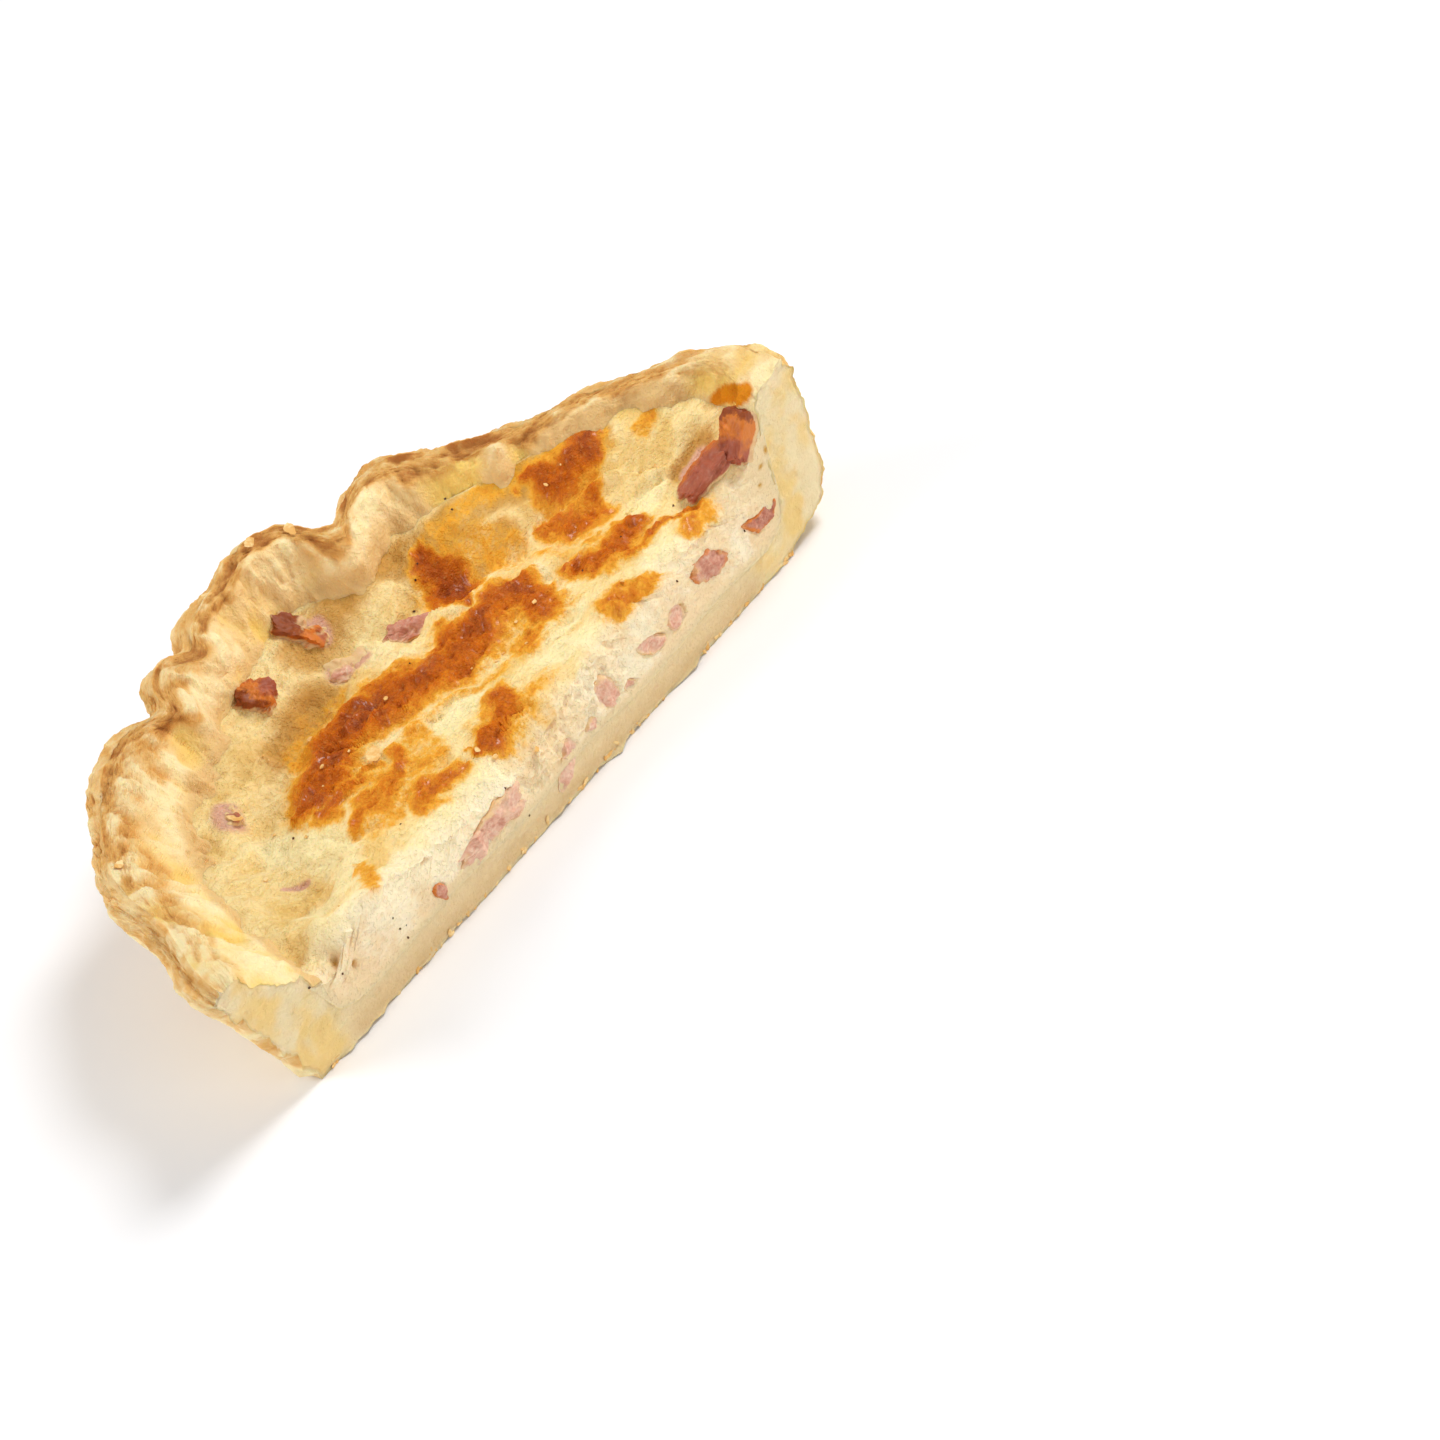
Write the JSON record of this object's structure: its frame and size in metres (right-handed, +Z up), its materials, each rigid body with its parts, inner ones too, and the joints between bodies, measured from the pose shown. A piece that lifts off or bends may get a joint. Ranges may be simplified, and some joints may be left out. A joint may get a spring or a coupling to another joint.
{
  "type": "half quiche",
  "caption": "Half of a small ham quiche: a thick hand-shaped pastry shell with a lobed rim, filled with browned egg custard, cut straight across.",
  "frame": {"origin": "middle of the underside of the whole piece's box, on the base", "axes": "+X along the straight cut, towards the steep end of the wall; the cut face looks towards -Y and the round wall towards +Y; +Z up"},
  "size_m": [0.116, 0.0502, 0.0251],
  "materials": {
    "pastry": "baked flaky pastry, pale gold with brown edges, dry and matt",
    "custard": "baked egg custard, cream with browned patches, softly moist",
    "ham": "cooked ham, pink with browned corners, moist"
  },
  "bodies": {
    "root": {"crust": "pastry", "custard": "custard", "ham_top_back": "ham", "ham_top_left": "ham", "ham_top_middle": "ham", "ham_top_sunk": "ham", "ham_top_corner": "ham", "ham_top_right": "ham", "ham_rim_right": "ham", "ham_cut_1": "ham", "ham_cut_2": "ham", "ham_cut_3": "ham", "ham_cut_4": "ham", "ham_cut_5": "ham", "ham_cut_6": "ham", "ham_cut_7": "ham", "ham_cut_8": "ham", "ham_cut_9": "ham", "ham_cut_10": "ham"}
  },
  "joints": []
}
